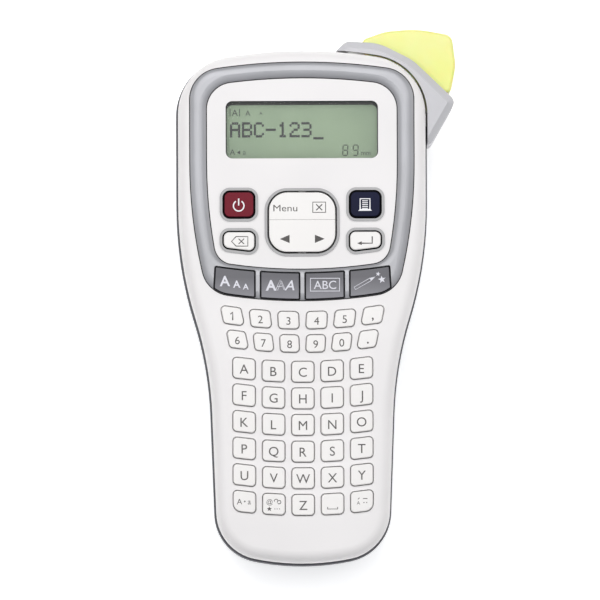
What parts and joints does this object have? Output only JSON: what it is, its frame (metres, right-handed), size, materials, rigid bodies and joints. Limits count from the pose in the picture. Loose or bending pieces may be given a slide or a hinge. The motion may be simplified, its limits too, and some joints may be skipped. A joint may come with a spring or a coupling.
{
  "type": "label maker",
  "caption": "Handheld label maker with a display, letter keypad, side cutter lever and tape cassette behind a back cover.",
  "frame": {"origin": "on the flat back that the part lies on, on the casing's centreline, halfway along the casing", "axes": "+Z out of the keypad face, +Y towards the display end, +X towards the cutter lever"},
  "size_m": [0.1117, 0.214, 0.0573],
  "materials": {
    "shell_white": "satin moulded ABS",
    "shell_grey": "fine textured moulded ABS",
    "bezel_silver": "silver painted ABS",
    "surround_grey": "printed grey border",
    "window_clear": "clear acrylic",
    "lcd_glass": "green reflective display",
    "cover_grey": "satin moulded ABS",
    "lever_lime": "translucent tinted polycarbonate",
    "silicone_mat": "moulded silicone",
    "circuit_board": "solder masked",
    "black_plastic": "moulded",
    "ceramic_head": "glazed ceramic",
    "aluminium_sink": "stamped",
    "steel_part": "bright",
    "platen_rubber": "ground",
    "gear_plastic": "moulded acetal",
    "cassette_plastic": "moulded",
    "tape_white": "rolled film",
    "ribbon_black": "rolled film",
    "battery_wrap": "plain shrink wrap",
    "key_maroon": "moulded",
    "key_navy": "moulded",
    "key_grey": "moulded",
    "key_white": "moulded"
  },
  "bodies": {
    "casing": {"battery_contacts": "steel_part", "battery_springs": "steel_part", "bezel_ring": "bezel_silver", "board_screws": "steel_part", "chassis": "black_plastic", "chassis_screws": "steel_part", "cutter_cover": "cover_grey", "cutter_pivot_pin": "steel_part", "cutter_spring": "steel_part", "drive_motor": "steel_part", "fixed_blade": "steel_part", "front_housing": "shell_white", "gear_axles": "steel_part", "head_holder": "aluminium_sink", "housing_screws": "steel_part", "key_surrounds": "surround_grey", "keypad_mat": "silicone_mat", "lcd_module": "lcd_glass", "lcd_window": "window_clear", "main_board": "circuit_board", "power_jack": "black_plastic", "print_head": "ceramic_head", "rear_housing": "shell_grey", "roller_holder": "steel_part"},
    "cover": {"back_cover": "shell_grey"},
    "lever": {"cutter_lever": "lever_lime", "moving_blade": "steel_part"},
    "platen": {"platen_roller": "platen_rubber", "platen_gear": "gear_plastic"},
    "pinion": {"motor_pinion": "gear_plastic"},
    "idler_1": {"idler_gear_1": "gear_plastic"},
    "idler_2": {"idler_gear_2": "gear_plastic"},
    "takeup": {"takeup_gear": "gear_plastic"},
    "cassette": {"cassette_case": "cassette_plastic"},
    "tape": {"tape_roll": "tape_white"},
    "supply_spool": {"ribbon_supply": "ribbon_black"},
    "takeup_spool": {"ribbon_takeup": "ribbon_black"},
    "cells": {"batteries": "battery_wrap"},
    "menu_pad": {"menu_rocker": "key_white"},
    "arrow_pad": {"arrow_rocker": "key_white"},
    "power_key_body": {"power_key": "key_maroon"},
    "print_key_body": {"print_key": "key_navy"},
    "backspace_key_body": {"backspace_key": "key_white"},
    "enter_key_body": {"enter_key": "key_white"},
    "size_key_body": {"size_key": "key_grey"},
    "style_key_body": {"style_key": "key_grey"},
    "frame_key_body": {"frame_key": "key_grey"},
    "symbol_key_body": {"symbol_key": "key_grey"},
    "number_row_1_body": {"number_row_1": "key_white"},
    "number_row_2_body": {"number_row_2": "key_white"},
    "letter_row_1_body": {"letter_row_1": "key_white"},
    "letter_row_2_body": {"letter_row_2": "key_white"},
    "letter_row_3_body": {"letter_row_3": "key_white"},
    "letter_row_4_body": {"letter_row_4": "key_white"},
    "letter_row_5_body": {"letter_row_5": "key_white"},
    "letter_row_6_body": {"letter_row_6": "key_white"}
  },
  "joints": [
    {"name": "power_key_press", "type": "slide", "parent": "casing", "child": "power_key_body", "axis": [0, 0, -1], "range_m": [0, 0.001], "stiffness_N_per_m": 600, "deforming": ["keypad_mat"]},
    {"name": "print_key_press", "type": "slide", "parent": "casing", "child": "print_key_body", "axis": [0, 0, -1], "range_m": [0, 0.001], "stiffness_N_per_m": 600, "deforming": ["keypad_mat"]},
    {"name": "backspace_key_press", "type": "slide", "parent": "casing", "child": "backspace_key_body", "axis": [0, 0, -1], "range_m": [0, 0.001], "stiffness_N_per_m": 600, "deforming": ["keypad_mat"]},
    {"name": "enter_key_press", "type": "slide", "parent": "casing", "child": "enter_key_body", "axis": [0, 0, -1], "range_m": [0, 0.001], "stiffness_N_per_m": 600, "deforming": ["keypad_mat"]},
    {"name": "size_key_press", "type": "slide", "parent": "casing", "child": "size_key_body", "axis": [0, 0, -1], "range_m": [0, 0.001], "stiffness_N_per_m": 600, "deforming": ["keypad_mat"]},
    {"name": "style_key_press", "type": "slide", "parent": "casing", "child": "style_key_body", "axis": [0, 0, -1], "range_m": [0, 0.001], "stiffness_N_per_m": 600, "deforming": ["keypad_mat"]},
    {"name": "frame_key_press", "type": "slide", "parent": "casing", "child": "frame_key_body", "axis": [0, 0, -1], "range_m": [0, 0.001], "stiffness_N_per_m": 600, "deforming": ["keypad_mat"]},
    {"name": "symbol_key_press", "type": "slide", "parent": "casing", "child": "symbol_key_body", "axis": [0, 0, -1], "range_m": [0, 0.001], "stiffness_N_per_m": 600, "deforming": ["keypad_mat"]},
    {"name": "number_row_1_press", "type": "slide", "parent": "casing", "child": "number_row_1_body", "axis": [0, 0, -1], "range_m": [0, 0.001], "stiffness_N_per_m": 1500, "deforming": ["keypad_mat"]},
    {"name": "number_row_2_press", "type": "slide", "parent": "casing", "child": "number_row_2_body", "axis": [0, 0, -1], "range_m": [0, 0.001], "stiffness_N_per_m": 1500, "deforming": ["keypad_mat"]},
    {"name": "letter_row_1_press", "type": "slide", "parent": "casing", "child": "letter_row_1_body", "axis": [0, 0, -1], "range_m": [0, 0.001], "stiffness_N_per_m": 1500, "deforming": ["keypad_mat"]},
    {"name": "letter_row_2_press", "type": "slide", "parent": "casing", "child": "letter_row_2_body", "axis": [0, 0, -1], "range_m": [0, 0.001], "stiffness_N_per_m": 1500, "deforming": ["keypad_mat"]},
    {"name": "letter_row_3_press", "type": "slide", "parent": "casing", "child": "letter_row_3_body", "axis": [0, 0, -1], "range_m": [0, 0.001], "stiffness_N_per_m": 1500, "deforming": ["keypad_mat"]},
    {"name": "letter_row_4_press", "type": "slide", "parent": "casing", "child": "letter_row_4_body", "axis": [0, 0, -1], "range_m": [0, 0.001], "stiffness_N_per_m": 1500, "deforming": ["keypad_mat"]},
    {"name": "letter_row_5_press", "type": "slide", "parent": "casing", "child": "letter_row_5_body", "axis": [0, 0, -1], "range_m": [0, 0.001], "stiffness_N_per_m": 1500, "deforming": ["keypad_mat"]},
    {"name": "letter_row_6_press", "type": "slide", "parent": "casing", "child": "letter_row_6_body", "axis": [0, 0, -1], "range_m": [0, 0.001], "stiffness_N_per_m": 1500, "deforming": ["keypad_mat"]},
    {"name": "menu_rock", "type": "hinge", "parent": "casing", "child": "menu_pad", "pos_m": [0, 0.0334, 0.0534], "axis": [0, 1, 0], "range_deg": [-2.5, 2.5], "stiffness_Nm_per_rad": 0.05, "deforming": ["keypad_mat"]},
    {"name": "arrow_rock", "type": "hinge", "parent": "casing", "child": "arrow_pad", "pos_m": [0, 0.0334, 0.0534], "axis": [0, 1, 0], "range_deg": [-2.5, 2.5], "stiffness_Nm_per_rad": 0.05, "deforming": ["keypad_mat"]},
    {"name": "cutter_press", "type": "hinge", "parent": "casing", "child": "lever", "pos_m": [0.0316, 0.0972, 0.02], "axis": [0, 0, -1], "range_deg": [0, 22], "stiffness_Nm_per_rad": 0.08, "springref_deg": -11.46},
    {"name": "idler_1_turn", "type": "hinge", "parent": "casing", "child": "idler_1", "pos_m": [-0.0031, 0.078, 0.02], "axis": [0, 0, 1], "continuous": true},
    {"name": "pinion_turn", "type": "hinge", "parent": "casing", "child": "pinion", "pos_m": [-0.01935, 0.078, 0.02], "axis": [0, 0, 1], "continuous": true},
    {"name": "idler_2_turn", "type": "hinge", "parent": "casing", "child": "idler_2", "pos_m": [0.01875, 0.078, 0.02], "axis": [0, 0, 1], "continuous": true},
    {"name": "platen_turn", "type": "hinge", "parent": "casing", "child": "platen", "pos_m": [0.035, 0.078, 0.02], "axis": [0, 0, 1], "continuous": true},
    {"name": "takeup_turn", "type": "hinge", "parent": "casing", "child": "takeup", "pos_m": [0.0167, 0.06349, 0.02], "axis": [0, 0, 1], "continuous": true},
    {"name": "cover_off", "type": "slide", "parent": "casing", "child": "cover", "axis": [0, 0, -1], "range_m": [0, 0.04]},
    {"name": "cassette_out", "type": "slide", "parent": "casing", "child": "cassette", "axis": [0, 0, -1], "range_m": [0, 0.024]},
    {"name": "batteries_out", "type": "slide", "parent": "casing", "child": "cells", "axis": [0, 0, -1], "range_m": [0, 0.02]},
    {"name": "tape_roll_turn", "type": "hinge", "parent": "cassette", "child": "tape", "pos_m": [-0.0014, 0.0506, 0.02], "axis": [0, 0, 1], "continuous": true},
    {"name": "ribbon_supply_turn", "type": "hinge", "parent": "cassette", "child": "supply_spool", "pos_m": [-0.0111, 0.0791, 0.02], "axis": [0, 0, 1], "continuous": true},
    {"name": "ribbon_takeup_turn", "type": "hinge", "parent": "cassette", "child": "takeup_spool", "pos_m": [0.0167, 0.06349, 0.02], "axis": [0, 0, 1], "continuous": true}
  ],
  "couplings": [
    {"joint": "pinion_turn", "follows": "idler_1_turn", "ratio": -3},
    {"joint": "idler_2_turn", "follows": "idler_1_turn", "ratio": -1.25},
    {"joint": "platen_turn", "follows": "idler_1_turn", "ratio": 1.875},
    {"joint": "takeup_turn", "follows": "idler_1_turn", "ratio": 2.5},
    {"joint": "ribbon_takeup_turn", "follows": "idler_1_turn", "ratio": 2.5},
    {"joint": "tape_roll_turn", "follows": "idler_1_turn", "ratio": 0.5},
    {"joint": "ribbon_supply_turn", "follows": "idler_1_turn", "ratio": 1.5},
    {"joint": "cassette_out", "follows": "cover_off", "ratio": 0.6},
    {"joint": "batteries_out", "follows": "cover_off", "ratio": 0.5}
  ]
}
